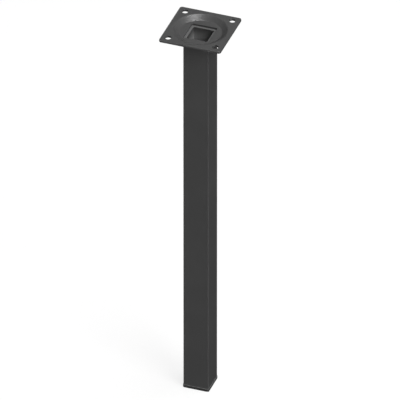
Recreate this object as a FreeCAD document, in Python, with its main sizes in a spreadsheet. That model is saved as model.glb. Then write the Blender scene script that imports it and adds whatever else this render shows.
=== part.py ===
import FreeCAD, Part
import math
import os
import Sketcher

# Square metal table leg: a square steel tube, a pressed fixing plate welded to
# its upper end and a plastic cap that plugs its lower end.
# Millimetres. The origin is the centre of the cap's underside and +Z points up.

DIMENSIONS = [
    ("leg_height", 394.0, "floor to the top of the fixing plate"),
    ("tube_side", 25.0, "outside width of the square tube"),
    ("tube_wall", 2.5, "wall thickness of the tube"),
    ("tube_corner", 1.5, "outside corner radius of the tube"),
    ("bore_corner", 0.6, "inside corner radius of the tube"),
    ("plate_side", 60.0, "width of the square fixing plate"),
    ("plate_corner", 2.5, "corner radius of the plate's outline"),
    ("sheet_thickness", 2.0, "thickness of the plate's sheet"),
    ("edge_roll", 0.6, "rounding of the sheared edge on the upper side"),
    ("hole_spacing", 46.0, "distance from one screw hole to the next"),
    ("hole_diameter", 6.0, "diameter of a screw hole"),
    ("dish_floor_diameter", 39.0, "circle where the dish's flat floor ends"),
    ("dish_wall_run", 6.8, "distance outwards from that circle to the flat rim"),
    ("dish_depth", 3.8, "depth of the dish's floor below the rim"),
    ("rim_bend", 2.8, "bend radius at the rim, upper side"),
    ("floor_bend", 1.8, "bend radius at the floor, upper side"),
    ("opening_side", 24.6, "width of the square opening in the dish's floor"),
    ("opening_corner", 0.8, "corner radius of that opening"),
    ("weld_leg", 3.0, "leg length of the fillet weld under the dish"),
    ("weld_toe", 0.4, "blunt width left at the weld's two toes"),
    ("cap_height", 3.2, "height of the cap's visible rim"),
    ("cap_lip", 0.4, "how far that rim stands out past the tube"),
    ("cap_foot_edge", 0.5, "bevel of the rim's lower edge"),
    ("cap_top_edge", 0.25, "bevel of the rim's upper edge"),
    ("plug_length", 22.0, "length of the cap's plug inside the tube"),
    ("plug_wall", 1.6, "wall thickness of the hollow plug"),
    ("plug_corner", 1.0, "corner radius of the hollow plug"),
    ("plug_lead", 0.7, "bevel of the plug's upper edge"),
    ("fin_clearance", 0.1, "gap between the plug's fins and the tube"),
    ("fin_height", 1.0, "how far a fin stands out from the plug"),
    ("fin_thickness", 1.4, "thickness of a fin"),
    ("fin_taper", 25.0, "slope of a fin's edge, in degrees"),
    ("fin_count", 4, "number of fins along the plug"),
]

TUBE_TOP = "Size.leg_height - Size.dish_depth - Size.sheet_thickness"
BORE_SIDE = "Size.tube_side - 2 * Size.tube_wall"
FIN_SIDE = f"{BORE_SIDE} - 2 * Size.fin_clearance"
PLUG_SIDE = f"{FIN_SIDE} - 2 * Size.fin_height"
FIN_PITCH = "Size.plug_length / (Size.fin_count + 0.5)"
CAP_SIDE = "Size.tube_side + 2 * Size.cap_lip"
CAP_CORNER = "Size.tube_corner + Size.cap_lip"
FLOOR_RADIUS = "Size.dish_floor_diameter / 2"
RIM_RADIUS = f"{FLOOR_RADIUS} + Size.dish_wall_run"
BLANK_RADIUS = "0.8 * Size.plate_side"

# A sketch's own numbers for the points of a curve and for its two axes
START, END, CENTRE = range(1, 4)
HORIZONTAL_AXIS, VERTICAL_AXIS = -1, -2
ORIGIN_POINT = (HORIZONTAL_AXIS, START)

TOLERANCE = 1e-4
NODES = ["mounting_plate", "leg_tube", "weld_seam", "foot_cap"]

doc = FreeCAD.newDocument("TableLeg")
sheet = doc.addObject("Spreadsheet::Sheet", "Size")
for row, (alias, number, meaning) in enumerate(DIMENSIONS, start=1):
    sheet.set(f"A{row}", alias)
    sheet.set(f"B{row}", str(number))
    sheet.set(f"C{row}", meaning)
    sheet.setAlias(f"B{row}", alias)
doc.recompute()


def size(expression):
    """Value, in millimetres, of an expression over the sheet's dimensions."""
    return float(sheet.evalExpression(expression))


def new_body(label):
    body = doc.addObject("PartDesign::Body", label)
    body.Label = label
    return body


def origin_feature(body, role):
    """One of the planes or axes of a body's own origin."""
    return next(item for item in body.Origin.OriginFeatures if item.Role == role)


def new_sketch(body, name, role, lift="0"):
    """Empty sketch on a plane of the body's origin, lifted along the plane's normal."""
    sketch = body.newObject("Sketcher::SketchObject", name)
    sketch.AttachmentSupport = (origin_feature(body, role), [""])
    sketch.MapMode = "FlatFace"
    sketch.setExpression("AttachmentOffset.Base.z", lift)
    return sketch


def drive(sketch, name, constraint, expression):
    """Add a dimension to a sketch and tie it to the sheet."""
    index = sketch.addConstraint(constraint)
    sketch.renameConstraint(index, name)
    sketch.setExpression(f"Constraints.{name}", expression)


def join(sketch, kind, first, second):
    """Join the end of one curve to the start of the next: Coincident or Tangent."""
    sketch.addConstraint(Sketcher.Constraint(kind, first, END, second, START))


def add_arc(sketch, centre, radius, start_angle, end_angle):
    circle = Part.Circle(centre, FreeCAD.Vector(0, 0, 1), radius)
    return sketch.addGeometry(Part.ArcOfCircle(circle, start_angle, end_angle))


def add_rounded_square(sketch, name, side, corner):
    """Closed outline centred on the origin, its four corners rounded alike."""
    half = size(side) / 2
    radius = size(corner)
    straight = half - radius
    sides = []
    arcs = []
    for quarter in range(4):
        turn = FreeCAD.Rotation(FreeCAD.Vector(0, 0, 1), 90 * quarter)
        start = turn.multVec(FreeCAD.Vector(-straight, -half, 0))
        end = turn.multVec(FreeCAD.Vector(straight, -half, 0))
        centre = turn.multVec(FreeCAD.Vector(straight, -straight, 0))
        angle = math.radians(90 * quarter - 90)
        sides.append(sketch.addGeometry(Part.LineSegment(start, end)))
        arcs.append(add_arc(sketch, centre, radius, angle, angle + math.pi / 2))
    for quarter in range(4):
        join(sketch, "Tangent", sides[quarter], arcs[quarter])
        join(sketch, "Tangent", arcs[quarter], sides[(quarter + 1) % 4])
        direction = "Vertical" if quarter % 2 else "Horizontal"
        sketch.addConstraint(Sketcher.Constraint(direction, sides[quarter]))
    for arc in arcs[1:]:
        sketch.addConstraint(Sketcher.Constraint("Equal", arcs[0], arc))
    sketch.addConstraint(
        Sketcher.Constraint("Symmetric", sides[0], START, sides[2], START, *ORIGIN_POINT)
    )
    drive(sketch, f"{name}_corner", Sketcher.Constraint("Radius", arcs[0], radius), corner)
    for axis, low, high in (("X", sides[3], sides[1]), ("Y", sides[0], sides[2])):
        span = Sketcher.Constraint(f"Distance{axis}", low, START, high, START, 2 * half)
        drive(sketch, f"{name}_side_{axis}", span, side)


def pad(body, name, sketch, length):
    feature = body.newObject("PartDesign::Pad", name)
    feature.Profile = sketch
    feature.setExpression("Length", length)
    doc.recompute()
    return feature


def pocket(body, name, sketch, depth=None):
    """Cut a sketch down from its plane: to a depth, or right through the body."""
    before = body.Shape.Volume
    feature = body.newObject("PartDesign::Pocket", name)
    feature.Profile = sketch
    if depth:
        feature.setExpression("Length", depth)
    else:
        feature.Type = "ThroughAll"
    doc.recompute()
    if feature.Shape.Volume > before - TOLERANCE:
        raise RuntimeError(f"{name} cuts nothing")
    return feature


def edge_names(shape, wanted):
    """Names of the edges that a test accepts."""
    numbered = enumerate(shape.Edges, start=1)
    return [f"Edge{number}" for number, edge in numbered if wanted(edge)]


def lies_at(edge, height):
    box = edge.BoundBox
    return abs(box.ZMin - height) < TOLERANCE and abs(box.ZMax - height) < TOLERANCE


def reach_out(edge):
    """How far an edge gets from the leg's axis, along X or Y."""
    box = edge.BoundBox
    return max(-box.XMin, box.XMax, -box.YMin, box.YMax)


def ease_edges(body, kind, name, height, amount, further_out=0.0):
    """Fillet or chamfer the last feature's edges at one height that reach out far enough."""
    base = body.Tip
    feature = body.newObject(f"PartDesign::{kind}", name)
    feature.Base = (base, edge_names(
        base.Shape,
        lambda edge: lies_at(edge, height) and reach_out(edge) > further_out))
    feature.setExpression("Radius" if kind == "Fillet" else "Size", amount)
    doc.recompute()
    return feature


def draw_sheet_profile(sketch):
    """Half section of the pressed sheet: flat rim, two bends with a wall between, floor.

    The lower side repeats the upper one at the sheet's thickness, with bends about
    the same centres.
    """
    top = size("Size.leg_height")
    depth = size("Size.dish_depth")
    thickness = size("Size.sheet_thickness")
    rim_radius = size(RIM_RADIUS)
    floor_radius = size(FLOOR_RADIUS)
    rim_bend = size("Size.rim_bend")
    floor_bend = size("Size.floor_bend")
    reach = size(BLANK_RADIUS)

    rim_centre = FreeCAD.Vector(rim_radius, top - rim_bend, 0)
    floor_centre = FreeCAD.Vector(floor_radius, top - depth + floor_bend, 0)
    across = rim_radius - floor_radius
    rise = rim_bend + floor_bend - depth
    slope = math.asin((rim_bend + floor_bend) / math.hypot(across, rise)) - math.atan2(rise, across)
    outward = FreeCAD.Vector(-math.sin(slope), math.cos(slope), 0)

    sides = []
    for offset in (0, thickness):
        rim_start = FreeCAD.Vector(reach, top - offset, 0)
        rim_end = FreeCAD.Vector(rim_radius, top - offset, 0)
        wall_start = rim_centre + outward * (rim_bend - offset)
        wall_end = floor_centre - outward * (floor_bend + offset)
        floor_start = FreeCAD.Vector(floor_radius, top - depth - offset, 0)
        floor_end = FreeCAD.Vector(0, top - depth - offset, 0)
        sides.append({
            "rim": sketch.addGeometry(Part.LineSegment(rim_start, rim_end)),
            "rim_bend": add_arc(sketch, rim_centre, rim_bend - offset,
                                math.pi / 2, math.pi / 2 + slope),
            "wall": sketch.addGeometry(Part.LineSegment(wall_start, wall_end)),
            "floor_bend": add_arc(sketch, floor_centre, floor_bend + offset,
                                  -math.pi / 2, -math.pi / 2 + slope),
            "floor": sketch.addGeometry(Part.LineSegment(floor_start, floor_end)),
        })
    upper, lower = sides
    centre_line = sketch.addGeometry(Part.LineSegment(
        FreeCAD.Vector(0, top - depth, 0), FreeCAD.Vector(0, top - depth - thickness, 0)))
    blank_edge = sketch.addGeometry(Part.LineSegment(
        FreeCAD.Vector(reach, top, 0), FreeCAD.Vector(reach, top - thickness, 0)))

    for side in sides:
        join(sketch, "Tangent", side["rim"], side["rim_bend"])
        join(sketch, "Tangent", side["rim_bend"], side["wall"])
        sketch.addConstraint(
            Sketcher.Constraint("Tangent", side["wall"], END, side["floor_bend"], END))
        sketch.addConstraint(
            Sketcher.Constraint("Tangent", side["floor_bend"], START, side["floor"], START))
        sketch.addConstraint(Sketcher.Constraint("Horizontal", side["rim"]))
        sketch.addConstraint(Sketcher.Constraint("Horizontal", side["floor"]))
    for line, point, side in ((centre_line, END, "floor"), (blank_edge, START, "rim")):
        sketch.addConstraint(Sketcher.Constraint("Vertical", line))
        sketch.addConstraint(Sketcher.Constraint("Coincident", line, START, upper[side], point))
        sketch.addConstraint(Sketcher.Constraint("Coincident", line, END, lower[side], point))
    for bend in ("rim_bend", "floor_bend"):
        sketch.addConstraint(
            Sketcher.Constraint("Coincident", upper[bend], CENTRE, lower[bend], CENTRE))
    sketch.addConstraint(
        Sketcher.Constraint("PointOnObject", centre_line, START, VERTICAL_AXIS))

    distance = Sketcher.Constraint
    drive(sketch, "rim_bend", distance("Radius", upper["rim_bend"], rim_bend), "Size.rim_bend")
    drive(sketch, "floor_bend", distance("Radius", upper["floor_bend"], floor_bend),
          "Size.floor_bend")
    drive(sketch, "floor_thickness",
          distance("DistanceY", lower["floor"], END, upper["floor"], END, thickness),
          "Size.sheet_thickness")
    drive(sketch, "rim_thickness",
          distance("DistanceY", lower["rim"], START, upper["rim"], START, thickness),
          "Size.sheet_thickness")
    drive(sketch, "rim_radius",
          distance("DistanceX", *ORIGIN_POINT, upper["rim_bend"], CENTRE, rim_radius),
          RIM_RADIUS)
    drive(sketch, "floor_radius",
          distance("DistanceX", *ORIGIN_POINT, upper["floor_bend"], CENTRE, floor_radius),
          FLOOR_RADIUS)
    drive(sketch, "top", distance("DistanceY", *ORIGIN_POINT, upper["rim"], START, top),
          "Size.leg_height")
    drive(sketch, "depth",
          distance("DistanceY", upper["floor"], END, upper["rim"], START, depth),
          "Size.dish_depth")
    drive(sketch, "reach", distance("DistanceX", *ORIGIN_POINT, upper["rim"], START, reach),
          BLANK_RADIUS)


def make_mounting_plate():
    """Square plate pressed from sheet, with a round dish, a square opening and four holes."""
    body = new_body("mounting_plate")
    profile = new_sketch(body, "SheetProfile", "XZ_Plane")
    draw_sheet_profile(profile)
    pressing = body.newObject("PartDesign::Revolution", "Pressing")
    pressing.Profile = profile
    pressing.ReferenceAxis = (profile, ["V_Axis"])
    pressing.Angle = 360
    doc.recompute()

    outline = new_sketch(body, "TrimOutline", "XY_Plane", "Size.leg_height")
    add_rounded_square(outline, "plate", "Size.plate_side", "Size.plate_corner")
    scrap = Part.Circle(FreeCAD.Vector(0, 0, 0), FreeCAD.Vector(0, 0, 1), 2 * size(BLANK_RADIUS))
    scrap_edge = outline.addGeometry(scrap)
    outline.addConstraint(Sketcher.Constraint("Coincident", scrap_edge, CENTRE, *ORIGIN_POINT))
    drive(outline, "scrap", Sketcher.Constraint("Radius", scrap_edge, scrap.Radius),
          f"2 * {BLANK_RADIUS}")
    pocket(body, "Trim", outline)
    ease_edges(body, "Fillet", "EdgeRoll", size("Size.leg_height"), "Size.edge_roll",
               further_out=size("Size.plate_side / 2 - Size.edge_roll"))

    opening = new_sketch(body, "OpeningOutline", "XY_Plane", "Size.leg_height")
    add_rounded_square(opening, "opening", "Size.opening_side", "Size.opening_corner")
    pocket(body, "Opening", opening)

    hole = new_sketch(body, "HoleOutline", "XY_Plane", "Size.leg_height")
    offset = size("Size.hole_spacing / 2")
    radius = size("Size.hole_diameter / 2")
    circle = hole.addGeometry(
        Part.Circle(FreeCAD.Vector(offset, offset, 0), FreeCAD.Vector(0, 0, 1), radius))
    drive(hole, "radius", Sketcher.Constraint("Radius", circle, radius),
          "Size.hole_diameter / 2")
    for axis in ("X", "Y"):
        place = Sketcher.Constraint(f"Distance{axis}", *ORIGIN_POINT, circle, CENTRE, offset)
        drive(hole, f"place_{axis}", place, "Size.hole_spacing / 2")
    drilled = pocket(body, "ScrewHole", hole)

    holes = body.newObject("PartDesign::PolarPattern", "ScrewHoles")
    holes.Originals = [drilled]
    holes.Axis = (origin_feature(body, "Z_Axis"), [""])
    holes.Angle = 360
    holes.Occurrences = 4
    body.Tip = holes
    doc.recompute()
    return body


def make_leg_tube():
    """Square tube from the cap's rim up to the underside of the dish's floor."""
    body = new_body("leg_tube")
    section = new_sketch(body, "TubeSection", "XY_Plane")
    add_rounded_square(section, "outside", "Size.tube_side", "Size.tube_corner")
    add_rounded_square(section, "bore", BORE_SIDE, "Size.bore_corner")
    pad(body, "Tube", section, f"{TUBE_TOP} - Size.cap_height")
    body.setExpression("Placement.Base.z", "Size.cap_height")
    doc.recompute()
    return body


def make_weld_seam(plate):
    """Fillet weld all round the tube's upper end, fitted against the dish's underside."""
    blank = new_body("weld_blank")
    ring = new_sketch(blank, "WeldRing", "XY_Plane")
    add_rounded_square(ring, "toe", "Size.tube_side + 2 * Size.weld_leg",
                       "Size.tube_corner + Size.weld_leg")
    add_rounded_square(ring, "root", "Size.tube_side", "Size.tube_corner")
    pad(blank, "WeldPad", ring, "Size.weld_leg + Size.sheet_thickness / 2")
    ease_edges(blank, "Chamfer", "WeldSlope", 0, "Size.weld_leg - Size.weld_toe",
               further_out=size("(Size.tube_side + Size.weld_leg) / 2"))
    blank.setExpression("Placement.Base.z", f"{TUBE_TOP} - Size.weld_leg")
    doc.recompute()

    seam = doc.addObject("Part::Cut", "weld_seam")
    seam.Label = "weld_seam"
    seam.Base = blank
    seam.Tool = plate
    doc.recompute()
    return seam


def make_foot_cap():
    """Plastic cap: a rim under the tube and a hollow, finned plug inside it."""
    body = new_body("foot_cap")
    rim = new_sketch(body, "RimOutline", "XY_Plane")
    add_rounded_square(rim, "rim", CAP_SIDE, CAP_CORNER)
    pad(body, "Rim", rim, "Size.cap_height")
    ease_edges(body, "Chamfer", "FootEdge", 0, "Size.cap_foot_edge")
    ease_edges(body, "Chamfer", "TopEdge", size("Size.cap_height"), "Size.cap_top_edge")

    plug = new_sketch(body, "PlugOutline", "XY_Plane", "Size.cap_height")
    add_rounded_square(plug, "plug", PLUG_SIDE, "Size.plug_corner")
    pad(body, "Plug", plug, "Size.plug_length")

    fin = new_sketch(body, "FinOutline", "XY_Plane", f"Size.cap_height + {FIN_PITCH} / 2")
    add_rounded_square(fin, "fin", FIN_SIDE, "Size.plug_corner")
    first_fin = pad(body, "Fin", fin, "Size.fin_thickness")
    first_fin.setExpression("TaperAngle", "-Size.fin_taper")

    fins = body.newObject("PartDesign::LinearPattern", "Fins")
    fins.Originals = [first_fin]
    fins.Direction = (origin_feature(body, "Z_Axis"), [""])
    fins.setExpression("Length", f"{FIN_PITCH} * (Size.fin_count - 1)")
    fins.setExpression("Occurrences", "Size.fin_count")
    body.Tip = fins
    doc.recompute()
    ease_edges(body, "Chamfer", "Lead", size("Size.cap_height + Size.plug_length"),
               "Size.plug_lead")

    hollow = new_sketch(body, "HollowOutline", "XY_Plane", "Size.cap_height + Size.plug_length")
    add_rounded_square(hollow, "hollow", f"{PLUG_SIDE} - 2 * Size.plug_wall",
                       "Size.plug_corner / 2")
    pocket(body, "Hollow", hollow, "Size.plug_length")
    return body


def check_document():
    """Stop if any object failed, or if a sub-part's solid is missing or broken."""
    for item in doc.Objects:
        if "Invalid" in item.State or "Error" in item.State:
            raise RuntimeError(f"{item.Name} failed: {item.State}")
    for name in NODES:
        shape = doc.getObject(name).Shape
        if shape.isNull() or not shape.isValid() or len(shape.Solids) != 1:
            raise RuntimeError(f"{name} is not one sound solid")


mounting_plate = make_mounting_plate()
make_leg_tube()
make_weld_seam(mounting_plate)
make_foot_cap()
doc.recompute()
check_document()
os.makedirs("parts", exist_ok=True)
for name in NODES:
    doc.getObject(name).Shape.exportStep(f"parts/{name}.step")
    print(name, round(doc.getObject(name).Shape.Volume, 1))
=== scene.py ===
import math

import bmesh
import bpy
from mathutils import Matrix, Vector


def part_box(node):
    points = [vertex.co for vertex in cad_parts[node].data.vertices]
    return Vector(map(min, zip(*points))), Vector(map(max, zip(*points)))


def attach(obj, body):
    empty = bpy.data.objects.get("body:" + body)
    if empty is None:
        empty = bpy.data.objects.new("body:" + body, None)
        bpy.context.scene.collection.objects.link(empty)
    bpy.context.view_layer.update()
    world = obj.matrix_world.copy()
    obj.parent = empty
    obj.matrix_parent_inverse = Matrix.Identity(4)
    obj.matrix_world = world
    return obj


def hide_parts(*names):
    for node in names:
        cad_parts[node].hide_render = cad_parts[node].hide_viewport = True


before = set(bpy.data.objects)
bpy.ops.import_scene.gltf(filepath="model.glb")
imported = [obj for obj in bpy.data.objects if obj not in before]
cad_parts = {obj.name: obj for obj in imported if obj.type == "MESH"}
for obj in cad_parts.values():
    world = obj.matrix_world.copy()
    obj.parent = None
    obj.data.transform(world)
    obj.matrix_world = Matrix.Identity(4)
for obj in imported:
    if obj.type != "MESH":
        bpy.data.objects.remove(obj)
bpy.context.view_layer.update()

# Square metal table leg in black powder coat, on a white floor under soft light.
# Metres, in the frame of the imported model: the origin is the foot's underside, +Z up.

MM = 0.001

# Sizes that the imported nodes' boxes show
PLATE_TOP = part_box("mounting_plate")[1].z
TUBE_LOW, TUBE_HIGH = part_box("leg_tube")
TUBE_HALF = TUBE_HIGH.x
TUBE_FOOT = TUBE_LOW.z
TUBE_TOP = TUBE_HIGH.z
WELD_LEG = TUBE_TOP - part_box("weld_seam")[0].z
CAP_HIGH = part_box("foot_cap")[1]

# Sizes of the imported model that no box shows
TUBE_CORNER = 1.5 * MM
TUBE_WALL = 2.5 * MM
BORE_HALF = TUBE_HALF - TUBE_WALL
OPENING_HALF = 12.3 * MM

# Powder coat: its greys, and how much of the paler ones is mixed in
COAT_DARK = 0.0475
COAT_HAZY = 0.0505
# Paler along edges: thinner coat there and a painted highlight on the edges in one
EDGE_THIN_AND_HIGHLIGHT_GREY = 0.12
EDGE_THIN_AND_HIGHLIGHT_SHARE = 0.42
# Paler on the tube's end face: painted light on the ledge inside the plate's opening
LEDGE_PAINTED_LIGHT_GREY = 0.11
LEDGE_PAINTED_LIGHT_SHARE = 0.7
COAT_ROUGHNESS = (0.36, 0.41)

# The coat's relief, with scales of noise in cells to the metre. An edge shows where the
# eased normal turns away from the flat one, by the cosine between them.
CLOUD_SCALE = 38.0
PEEL_SCALE = 620.0
PEEL_DEPTH = 0.12 * MM
PEEL_STRENGTH = 0.30
COAT_GRAIN_SCALE = 3800.0
COAT_GRAIN_SHARE = 0.25
EDGE_EASE = 0.35 * MM
EDGE_COSINES = (0.99, 0.86)
NEAR = 0.05 * MM

# Bare steel in the bore, painted paler than it is as painted light against the bore's shade:
# overspray fades out between two depths, along a ragged line
STEEL_PAINTED_LIGHT_DARK = 0.16
STEEL_PAINTED_LIGHT_PALE = 0.20
FADE_START = 3.0 * MM
FADE_END = 17.0 * MM
FADE_RAGGED = 6.0 * MM
STREAK_SCALE = (900.0, 900.0, 14.0)
STEEL_ROUGHER = 0.15

# Cap plastic: scuffs near the floor, and a painted highlight on the band under the tube, at the
# rim's top
PLASTIC_GREY = 0.028
SCUFF_GREY = 0.048
SCUFF_FULL = 0.2 * MM
SCUFF_GONE = 1.6 * MM
SCUFF_SCALE = (260.0, 1700.0, 1400.0)
RIM_TOP_HIGHLIGHT_GREY = 0.10
RIM_TOP_HIGHLIGHT_START = TUBE_FOOT - 0.5 * MM
RIM_TOP_HIGHLIGHT_FULL = TUBE_FOOT - 0.2 * MM
CAP_ROUGHNESS = (0.48, 0.62)
CAP_GRAIN_SCALE = 2600.0
CAP_GRAIN_DEPTH = 0.06 * MM
CAP_GRAIN_STRENGTH = 0.25

# Weld bead: its face bulges and carries one ripple for each step of the electrode.
# Its leg and ripples wander in three waves, each with its turns, size and start.
BEAD_BULGE = 0.34 * MM
BEAD_ACROSS = 14
BEAD_SINK = 0.3 * MM
BEAD_WANDER = 0.16 * MM
BEAD_WAVES = ((7, 0.5, 0.6), (17, 0.3, 2.1), (39, 0.2, 4.0))
RIPPLE_COUNT = 68
RIPPLE_STEPS = 8
RIPPLE_HEIGHT = 0.17 * MM
RIPPLE_MIDDLE = 0.7
RIPPLE_SWEEP = 0.9
RIPPLE_DRIFT = 0.35

# Lump where the bead's end meets its start: place and spread are shares of the way round
LUMP_HEIGHT = 0.3 * MM
LUMP_PLACE = 0.235
LUMP_SPREAD = 0.012

# Foot cap: a rim under the tube and a hollow plug with four sloping fins inside it
CAP_FOOT_ROUND = 0.5 * MM
CAP_LIP = CAP_HIGH.x - TUBE_HALF
PLUG_HALF = 8.9 * MM
PLUG_CORNER = 1.0 * MM
PLUG_WALL = 1.6 * MM
PLUG_LEAD = 0.7 * MM
PLUG_ROOT_ROUND = 0.3 * MM
FIN_HALF = 9.9 * MM
FIN_THICKNESS = 1.4 * MM
FIN_SLOPE = math.radians(25)
FIN_TIP = 0.12 * MM
FIN_COUNT = 4
GATE_HALF = 1.3 * MM
GATE_CORNER = 0.95 * GATE_HALF
GATE_DEPTH = 0.25 * MM

# Meshes: steps in a quarter round, and the angle from which an edge is shaded sharp
CORNER_STEPS = 8
EDGE_STEPS = 5
SHARP_ANGLE = math.radians(40)

# The photograph's view, for a picture of 400 by 400 pixels
AZIMUTH = math.radians(19.71)
ELEVATION = math.radians(34.20)
FRAME_WIDTH = 368.9 * MM
LENS = 1650.0
SENSOR = 36.0
AIM_HEIGHT = 204.7 * MM
AIM_LEFT = 0.24 * MM

# Floor: the more of its white is its own glow, the fainter the leg's shadow on it
FLOOR_HALF = 6.0
FLOOR_PAINT = 0.92
FLOOR_GLOW = 0.82

# Surroundings as the leg sees them: bright overhead, with a paler band under the horizon.
# Each ramp runs between two heights of a direction, from -1 straight down to 1 straight up.
SKY_DIM = 0.02
SKY_BRIGHT = 0.20
SKY_RAMP = (0.1, 0.6)
BAND_BRIGHT = 0.22
BAND_RISE = (-0.5, -0.2)
BAND_FALL = (-0.06, 0.0)

# Four low lamps round the leg: their power in watts, the first one's azimuth in degrees,
# and the height of their direction, which keeps them under the plate
SIDE_POWERS = (4.2, 8.0, 28.0, 39.0)
SIDE_AZIMUTH = 22.5
SIDE_HEIGHT = -0.16


def make_camera():
    """Long lens at the photograph's angle, so far off that parallel edges stay parallel."""
    data = bpy.data.cameras.new("camera")
    data.lens = LENS
    data.sensor_width = SENSOR
    camera = bpy.data.objects.new("camera", data)
    bpy.context.collection.objects.link(camera)
    back = Vector((
        math.sin(AZIMUTH) * math.cos(ELEVATION),
        -math.cos(AZIMUTH) * math.cos(ELEVATION),
        math.sin(ELEVATION),
    ))
    right = Vector((math.cos(AZIMUTH), math.sin(AZIMUTH), 0.0))
    aim = Vector((0.0, 0.0, AIM_HEIGHT)) - right * AIM_LEFT
    camera.location = aim + back * (FRAME_WIDTH * LENS / SENSOR)
    camera.rotation_mode = "QUATERNION"
    camera.rotation_quaternion = (-back).to_track_quat("-Z", "Y")
    bpy.context.scene.camera = camera


class Nodes:
    """A material's or world's node tree, with short calls to add and link nodes."""

    def __init__(self, tree):
        self.tree = tree
        tree.nodes.clear()

    def add(self, kind, settings=None, **inputs):
        """New node: settings are its properties, inputs its sockets by name."""
        made = self.tree.nodes.new(f"ShaderNode{kind}")
        for name, value in (settings or {}).items():
            setattr(made, name, value)
        for name, value in inputs.items():
            self.feed(made.inputs[name.replace("_", " ")], value)
        return made

    def feed(self, socket, value):
        """Link a node's first output, link a socket, or set a plain value."""
        if isinstance(value, bpy.types.Node):
            self.tree.links.new(value.outputs[0], socket)
        elif isinstance(value, bpy.types.NodeSocket):
            self.tree.links.new(value, socket)
        else:
            socket.default_value = value

    def math(self, operation, first, second=0.0, third=0.0):
        """Sum, product or other operation on up to three values."""
        made = self.add("Math", {"operation": operation})
        for socket, value in zip(made.inputs, (first, second, third)):
            self.feed(socket, value)
        return made

    def ramp(self, value, low, high, low_to=0.0, high_to=1.0):
        """Smooth ramp of a value from one range to another, held at its ends."""
        made = self.add("MapRange", {"interpolation_type": "SMOOTHSTEP"})
        for socket, number in zip(made.inputs, (value, low, high, low_to, high_to)):
            self.feed(socket, number)
        return made

    def noise(self, place, scale, detail=2.0):
        """Grey noise between 0 and 1."""
        return self.add("TexNoise", Vector=place, Scale=scale, Detail=detail).outputs["Fac"]

    def mix(self, factor, first, second):
        """Blend of two colours, whose sockets go by number since all kinds share their names."""
        made = self.add("Mix", {"data_type": "RGBA"})
        self.feed(made.inputs["Factor"], factor)
        self.feed(made.inputs[6], first)
        self.feed(made.inputs[7], second)
        return made.outputs[2]


def new_material(name):
    """Empty material and its node tree."""
    material = bpy.data.materials.new(name)
    material.use_nodes = True
    return material, Nodes(material.node_tree)


def object_place(nodes):
    """Place in the part's own frame, in metres, and its three coordinates."""
    place = nodes.add("TexCoord").outputs["Object"]
    split = nodes.add("SeparateXYZ", Vector=place)
    return place, split.outputs[0], split.outputs[1], split.outputs[2]


def grey(level):
    """Grey colour, opaque."""
    return (level, level, level, 1.0)


def coat_surface(nodes, place):
    """Orange peel over eased edges: the bumped normal, and a mask of those edges."""
    peel = nodes.noise(place, PEEL_SCALE)
    grain = nodes.noise(place, COAT_GRAIN_SCALE, detail=1.0)
    relief = nodes.math("MULTIPLY_ADD", grain, COAT_GRAIN_SHARE, peel)
    eased = nodes.add("Bevel", {"samples": 6}, Radius=EDGE_EASE)
    bump = nodes.add("Bump", Height=relief, Normal=eased)
    bump.inputs["Strength"].default_value = PEEL_STRENGTH
    bump.inputs["Distance"].default_value = PEEL_DEPTH

    face = nodes.add("NewGeometry").outputs["Normal"]
    facing = nodes.add("VectorMath", {"operation": "DOT_PRODUCT"})
    nodes.feed(facing.inputs[0], eased)
    nodes.feed(facing.inputs[1], face)
    return bump, nodes.ramp(facing.outputs["Value"], *EDGE_COSINES)


def tube_end(nodes, off_axis, depth):
    """Mask of the tube's end face, which shows as a ledge inside the plate's opening and is painted
    paler there as painted light.
    """
    at_end = nodes.math("COMPARE", depth, 0.0, NEAR)
    in_opening = nodes.math("LESS_THAN", off_axis, OPENING_HALF - NEAR)
    return nodes.math("MULTIPLY", at_end, in_opening)


def bore_steel_and_painted_light(nodes, place, off_axis, depth, clouds):
    """Mask of the uncoated steel deep in the bore, and its colour, streaked along the tube and
    painted paler as painted light against the bore's shade.
    """
    in_bore = nodes.math("LESS_THAN", off_axis, BORE_HALF + NEAR)
    ragged = nodes.math("MULTIPLY_ADD", clouds, FADE_RAGGED, depth)
    bare_and_painted_light = nodes.math("MULTIPLY", in_bore, nodes.ramp(ragged, FADE_START, FADE_END))
    streaks = nodes.add("Mapping", Vector=place, Scale=STREAK_SCALE)
    drawn = nodes.noise(streaks, 1.0, detail=3.0)
    return bare_and_painted_light, nodes.mix(nodes.ramp(drawn, 0.3, 0.7), grey(STEEL_PAINTED_LIGHT_DARK), grey(STEEL_PAINTED_LIGHT_PALE))


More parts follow.
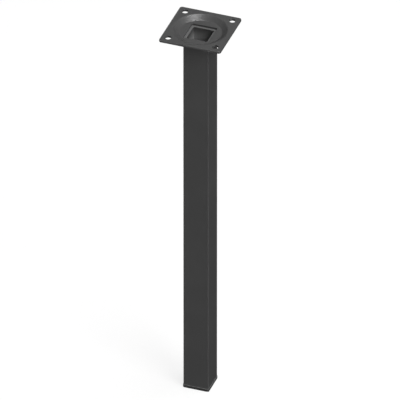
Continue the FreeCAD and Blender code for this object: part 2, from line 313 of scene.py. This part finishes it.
def make_powder_coat():
    """Semi-gloss black powder coat: orange peel, a little haze, paler along the edges.

    The edges' paleness is thinner coat there and a painted highlight in one, and the tube's end
    face is painted paler as painted light. Down the tube's bore the overspray fades out over grey
    mill steel, whose grey is painted paler as painted light against the bore's shade.
    """
    material, nodes = new_material("powder_coat")
    place, x, y, z = object_place(nodes)
    off_axis = nodes.math("MAXIMUM", nodes.math("ABSOLUTE", x), nodes.math("ABSOLUTE", y))
    depth = nodes.math("SUBTRACT", TUBE_TOP, z)
    clouds = nodes.noise(place, CLOUD_SCALE, detail=3.0)

    bump, edge = coat_surface(nodes, place)
    # Edge mask for the paler grey: thinner coat on edges and a painted highlight in one
    thin_and_highlight = nodes.math("MULTIPLY", edge, nodes.ramp(clouds, 0.3, 0.8, 0.35, 1.0))
    # Painted light: the tube's end face is painted paler so the ledge reads as lit
    ledge_painted_light = tube_end(nodes, off_axis, depth)
    coat = nodes.mix(nodes.ramp(clouds, 0.35, 0.7), grey(COAT_DARK), grey(COAT_HAZY))
    coat = nodes.mix(nodes.math("MULTIPLY", thin_and_highlight, EDGE_THIN_AND_HIGHLIGHT_SHARE), coat, grey(EDGE_THIN_AND_HIGHLIGHT_GREY))
    coat = nodes.mix(nodes.math("MULTIPLY", ledge_painted_light, LEDGE_PAINTED_LIGHT_SHARE), coat, grey(LEDGE_PAINTED_LIGHT_GREY))
    coat_roughness = nodes.ramp(clouds, 0.3, 0.75, *COAT_ROUGHNESS)

    # Painted light: the bore's steel grey is paler than it is, to lift the shade in the bore
    bare_and_painted_light, steel = bore_steel_and_painted_light(nodes, place, off_axis, depth, clouds)
    colour = nodes.mix(bare_and_painted_light, coat, steel)
    roughness = nodes.math("MULTIPLY_ADD", bare_and_painted_light, STEEL_ROUGHER, coat_roughness)

    shader = nodes.add("BsdfPrincipled", Base_Color=colour, Roughness=roughness, Normal=bump)
    shader.inputs["IOR"].default_value = 1.5
    nodes.add("OutputMaterial", Surface=shader)
    return material


def make_cap_plastic():
    """Moulded black plastic: fine spark-eroded grain, faint scuffs near the floor.

    The rim's upper edge is painted a little paler, as a painted highlight.
    """
    material, nodes = new_material("cap_plastic")
    place, _, _, z = object_place(nodes)

    scuff_place = nodes.add("Mapping", Vector=place, Scale=SCUFF_SCALE)
    scuffs = nodes.noise(scuff_place, 1.0, detail=4.0)
    low = nodes.ramp(z, SCUFF_FULL, SCUFF_GONE, 1.0, 0.0)
    worn = nodes.math("MULTIPLY", low, nodes.ramp(scuffs, 0.5, 0.72))
    # Painted highlight on the rim's top, under the tube
    rim_top_highlight = nodes.ramp(z, RIM_TOP_HIGHLIGHT_START, RIM_TOP_HIGHLIGHT_FULL)
    colour = nodes.mix(worn, grey(PLASTIC_GREY), grey(SCUFF_GREY))
    colour = nodes.mix(rim_top_highlight, colour, grey(RIM_TOP_HIGHLIGHT_GREY))
    roughness = nodes.ramp(worn, 0.0, 1.0, *CAP_ROUGHNESS)

    grain = nodes.noise(place, CAP_GRAIN_SCALE)
    bump = nodes.add("Bump", Height=grain)
    bump.inputs["Strength"].default_value = CAP_GRAIN_STRENGTH
    bump.inputs["Distance"].default_value = CAP_GRAIN_DEPTH
    shader = nodes.add("BsdfPrincipled", Base_Color=colour, Roughness=roughness, Normal=bump)
    nodes.add("OutputMaterial", Surface=shader)
    return material


def rounded_square(half, corner, height):
    """Ring of points round the leg's axis at one height: a square with round corners."""
    straight = half - corner
    ring = []
    for quarter in range(4):
        turn = Matrix.Rotation(math.radians(90 * quarter), 3, "Z")
        for step in range(CORNER_STEPS + 1):
            angle = math.radians(90 * step / CORNER_STEPS)
            across = straight + corner * math.cos(angle)
            along = straight + corner * math.sin(angle)
            ring.append(turn @ Vector((across, along, height)))
    return ring


def skin(name, rings, looped=False):
    """Mesh over rings of equally many points: looped back to the first, or closed at both ends."""
    build = bmesh.new()
    rows = [[build.verts.new(point) for point in ring] for ring in rings]
    if looped:
        rows.append(rows[0])
    for row, following in zip(rows, rows[1:]):
        for near in range(len(row)):
            far = (near + 1) % len(row)
            build.faces.new((row[near], row[far], following[far], following[near]))
    if not looped:
        build.faces.new(rows[0])
        build.faces.new(rows[-1])
    bmesh.ops.recalc_face_normals(build, faces=build.faces)
    mesh = bpy.data.meshes.new(name)
    build.to_mesh(mesh)
    build.free()
    mesh.shade_smooth()
    mesh.set_sharp_from_angle(angle=SHARP_ANGLE)
    return mesh


def add_piece(mesh, material, node):
    """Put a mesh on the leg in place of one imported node."""
    mesh.materials.append(material)
    piece = bpy.data.objects.new(mesh.name, mesh)
    bpy.context.collection.objects.link(piece)
    even = piece.modifiers.new("even_shading", "WEIGHTED_NORMAL")
    even.keep_sharp = True
    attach(piece, "root")
    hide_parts(node)


def bead_path(distance, quarter_length, straight):
    """Place on the tube's outline and the direction out of it, by the way run along the bead."""
    quarter, run = divmod(distance, quarter_length)
    turn = Matrix.Rotation(math.radians(90 * quarter), 3, "Z")
    side = TUBE_HALF - TUBE_CORNER
    if run < straight:
        return turn @ Vector((TUBE_HALF, run - side, 0)), turn @ Vector((1, 0, 0))
    angle = math.radians(90) * (run - straight) / (quarter_length - straight)
    out = Vector((math.cos(angle), math.sin(angle), 0))
    return turn @ (Vector((side, side, 0)) + out * TUBE_CORNER), turn @ out


def bead_section(share):
    """Leg of the bead at a share of the way round, and its face's points.

    Each point is its reach out from the tube's wall and its lift above the tube's end.
    """
    around = share * math.tau
    wander = sum(size * math.sin(turns * around + start) for turns, size, start in BEAD_WAVES)
    lump = LUMP_HEIGHT * math.exp(-((share - LUMP_PLACE) / LUMP_SPREAD) ** 2)
    leg = WELD_LEG - BEAD_WANDER + BEAD_WANDER * wander
    face = []
    for point in range(BEAD_ACROSS + 1):
        across = 2 * point / BEAD_ACROSS - 1
        phase = share * RIPPLE_COUNT + RIPPLE_SWEEP * across * across + RIPPLE_DRIFT * wander
        ripple = math.sqrt(1 - (phase % 1) ** 2) - RIPPLE_MIDDLE
        proud = (BEAD_BULGE + lump) * (1 - across * across)
        proud += RIPPLE_HEIGHT * ripple * (1 - across ** 4)
        reach = leg * (1 + across) / 2 + proud * math.sqrt(0.5)
        drop = leg * (1 - across) / 2 + proud * math.sqrt(0.5)
        face.append((reach, -drop))
    return leg, face


def make_weld_bead():
    """Hand-laid fillet bead round the tube's upper end, one crescent ripple after another.

    Each ring is the bead's section: the face from the tube's wall to the dish's
    underside, and a back that is sunk into both.
    """
    straight = 2 * (TUBE_HALF - TUBE_CORNER)
    quarter_length = straight + math.radians(90) * (TUBE_CORNER + WELD_LEG / 2)
    count = RIPPLE_COUNT * RIPPLE_STEPS
    rings = []
    for step in range(count):
        share = step / count
        place, out = bead_path(share * 4 * quarter_length, quarter_length, straight)
        leg, face = bead_section(share)
        back = [(leg, BEAD_SINK), (-BEAD_SINK, BEAD_SINK), (-BEAD_SINK, -leg)]
        rings.append([
            place + out * reach + Vector((0, 0, TUBE_TOP + lift)) for reach, lift in face + back
        ])
    return skin("weld_bead", rings, looped=True)


def round_edge(half, corner, height, radius, start):
    """Rings over a quarter-round edge, from one angle about its centre to 90 degrees on."""
    rings = []
    for step in range(EDGE_STEPS + 1):
        angle = math.radians(start + 90 * step / EDGE_STEPS)
        inset = radius * (1 - math.cos(angle))
        lift = radius * math.sin(angle)
        rings.append(rounded_square(half - inset, corner - inset, height + lift))
    return rings


def plug_root():
    """Rings up the hollow rounding between the cap's rim and its plug."""
    rings = []
    for step in range(EDGE_STEPS + 1):
        angle = math.radians(90 * step / EDGE_STEPS)
        inset = PLUG_ROOT_ROUND * (1 - math.sin(angle))
        lift = PLUG_ROOT_ROUND * (1 - math.cos(angle))
        rings.append(rounded_square(PLUG_HALF + inset, PLUG_CORNER + inset, TUBE_FOOT + lift))
    return rings


def plug_fins():
    """Rings up the plug's outside: each fin has a flat underside and slopes in as it rises."""
    pitch = (CAP_HIGH.z - TUBE_FOOT) / (FIN_COUNT + 0.5)
    fin_top = FIN_HALF - FIN_THICKNESS * math.tan(FIN_SLOPE)
    rings = []
    for number in range(FIN_COUNT):
        under = TUBE_FOOT + pitch * (number + 0.5)
        over = under + FIN_THICKNESS
        rings += [
            rounded_square(PLUG_HALF, PLUG_CORNER, under),
            rounded_square(FIN_HALF - FIN_TIP, PLUG_CORNER, under),
            rounded_square(FIN_HALF, PLUG_CORNER, under + FIN_TIP),
            rounded_square(fin_top, PLUG_CORNER, over),
            rounded_square(PLUG_HALF, PLUG_CORNER, over),
        ]
    return rings


def make_moulded_cap():
    """Foot cap with its moulded roundings, followed from the gate mark underneath to the hollow."""
    half = CAP_HIGH.x
    corner = TUBE_CORNER + CAP_LIP
    rings = [
        rounded_square(GATE_HALF, GATE_CORNER, GATE_DEPTH),
        rounded_square(GATE_HALF, GATE_CORNER, 0),
    ]
    rings += round_edge(half, corner, CAP_FOOT_ROUND, CAP_FOOT_ROUND, start=-90)
    rings += round_edge(half, corner, TUBE_FOOT - CAP_LIP, CAP_LIP, start=0)
    rings += plug_root()
    rings += plug_fins()

    hollow_half = PLUG_HALF - PLUG_WALL
    hollow_corner = PLUG_CORNER / 2
    rings += [
        rounded_square(PLUG_HALF, PLUG_CORNER, CAP_HIGH.z - PLUG_LEAD),
        rounded_square(PLUG_HALF - PLUG_LEAD, hollow_corner, CAP_HIGH.z),
        rounded_square(hollow_half, hollow_corner, CAP_HIGH.z),
        rounded_square(hollow_half, hollow_corner, TUBE_FOOT),
    ]
    return skin("moulded_cap", rings)


def make_floor_white():
    """White that catches a faint shadow from above and is clear from below."""
    material, nodes = new_material("floor_white")
    paint = nodes.add("BsdfDiffuse", Color=grey(FLOOR_PAINT))
    glow = nodes.add("Emission", Color=grey(1.0))
    white = nodes.add("MixShader", Fac=FLOOR_GLOW)
    nodes.feed(white.inputs[1], paint)
    nodes.feed(white.inputs[2], glow)
    clear = nodes.add("BsdfTransparent")
    from_below = nodes.add("NewGeometry").outputs["Backfacing"]
    surface = nodes.add("MixShader", Fac=from_below)
    nodes.feed(surface.inputs[1], white)
    nodes.feed(surface.inputs[2], clear)
    nodes.add("OutputMaterial", Surface=surface)
    return material


def make_floor():
    """Floor that only the camera sees, so it is mirrored in nothing and hides no lamp."""
    half = FLOOR_HALF
    mesh = bpy.data.meshes.new("floor")
    corners = [(-half, -half, 0), (half, -half, 0), (half, half, 0), (-half, half, 0)]
    mesh.from_pydata(corners, [], [(0, 1, 2, 3)])
    mesh.materials.append(make_floor_white())
    floor = bpy.data.objects.new("floor", mesh)
    floor.visible_diffuse = False
    floor.visible_glossy = False
    floor.visible_transmission = False
    floor.visible_shadow = False
    bpy.context.collection.objects.link(floor)


def make_surroundings():
    """World that is white to the camera, and to the leg a sky with a paler band round it."""
    world = bpy.data.worlds.new("surroundings")
    bpy.context.scene.world = world
    world.use_nodes = True
    nodes = Nodes(world.node_tree)
    direction = nodes.add("TexCoord").outputs["Generated"]
    height = nodes.add("SeparateXYZ", Vector=direction).outputs[2]
    overhead = nodes.ramp(height, *SKY_RAMP, SKY_DIM, SKY_BRIGHT)
    rise = nodes.ramp(height, *BAND_RISE)
    fall = nodes.ramp(height, *BAND_FALL, BAND_BRIGHT, 0.0)
    glow = nodes.math("ADD", overhead, nodes.math("MULTIPLY", rise, fall))
    tint = nodes.add("CombineColor", Red=glow, Green=glow, Blue=glow)
    seen = nodes.add("LightPath").outputs["Is Camera Ray"]
    sky = nodes.add("Background", Color=nodes.mix(seen, tint, grey(1.0)))
    nodes.add("OutputWorld", Surface=sky)


def add_lamp(name, toward, distance, width, power, mirrored=True):
    """Round soft lamp in a direction seen from the plate's top, facing it.

    One that isn't mirrored still lights the coat, but leaves no glare in it.
    """
    lamp = bpy.data.lights.new(name, "AREA")
    lamp.shape = "DISK"
    lamp.size = width
    lamp.energy = power
    holder = bpy.data.objects.new(name, lamp)
    holder.location = Vector((0.0, 0.0, PLATE_TOP)) + toward.normalized() * distance
    holder.rotation_mode = "QUATERNION"
    holder.rotation_quaternion = toward.to_track_quat("Z", "Y")
    holder.visible_glossy = mirrored
    bpy.context.collection.objects.link(holder)


def make_lamps():
    """Soft lamps for every side of the leg.

    The key makes the highlight in the dish, and the one for the corner makes the light
    line down the tube. The low ones stay under the plate, so they don't reach the dish.
    """
    add_lamp("key", Vector((0.16, 0.07, 0.95)), distance=1.6, width=0.6, power=19.5)
    add_lamp("fill", Vector((0.83, -0.50, 0.80)), distance=2.5, width=1.6, power=64.0)
    for quarter, power in enumerate(SIDE_POWERS):
        azimuth = math.radians(SIDE_AZIMUTH + 90 * quarter)
        toward = Vector((math.sin(azimuth), -math.cos(azimuth), SIDE_HEIGHT))
        add_lamp(f"side_{quarter}", toward, distance=2.0, width=0.7, power=power, mirrored=False)
    add_lamp("corner", Vector((0.76, -0.31, -0.66)), distance=2.0, width=0.5, power=2.9)
    add_lamp("under", Vector((0.0, 0.0, -1.0)), distance=3.0, width=0.3, power=60.0)


def make_leg():
    """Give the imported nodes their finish, and model the weld and the cap anew."""
    coat = make_powder_coat()
    plastic = make_cap_plastic()
    finish = {"mounting_plate": coat, "leg_tube": coat, "weld_seam": coat, "foot_cap": plastic}
    for name, material in finish.items():
        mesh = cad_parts[name].data
        mesh.materials.clear()
        mesh.materials.append(material)
    add_piece(make_weld_bead(), coat, "weld_seam")
    add_piece(make_moulded_cap(), plastic, "foot_cap")


make_camera()
make_surroundings()
make_lamps()
make_floor()
make_leg()
bpy.context.scene.view_settings.view_transform = "Standard"
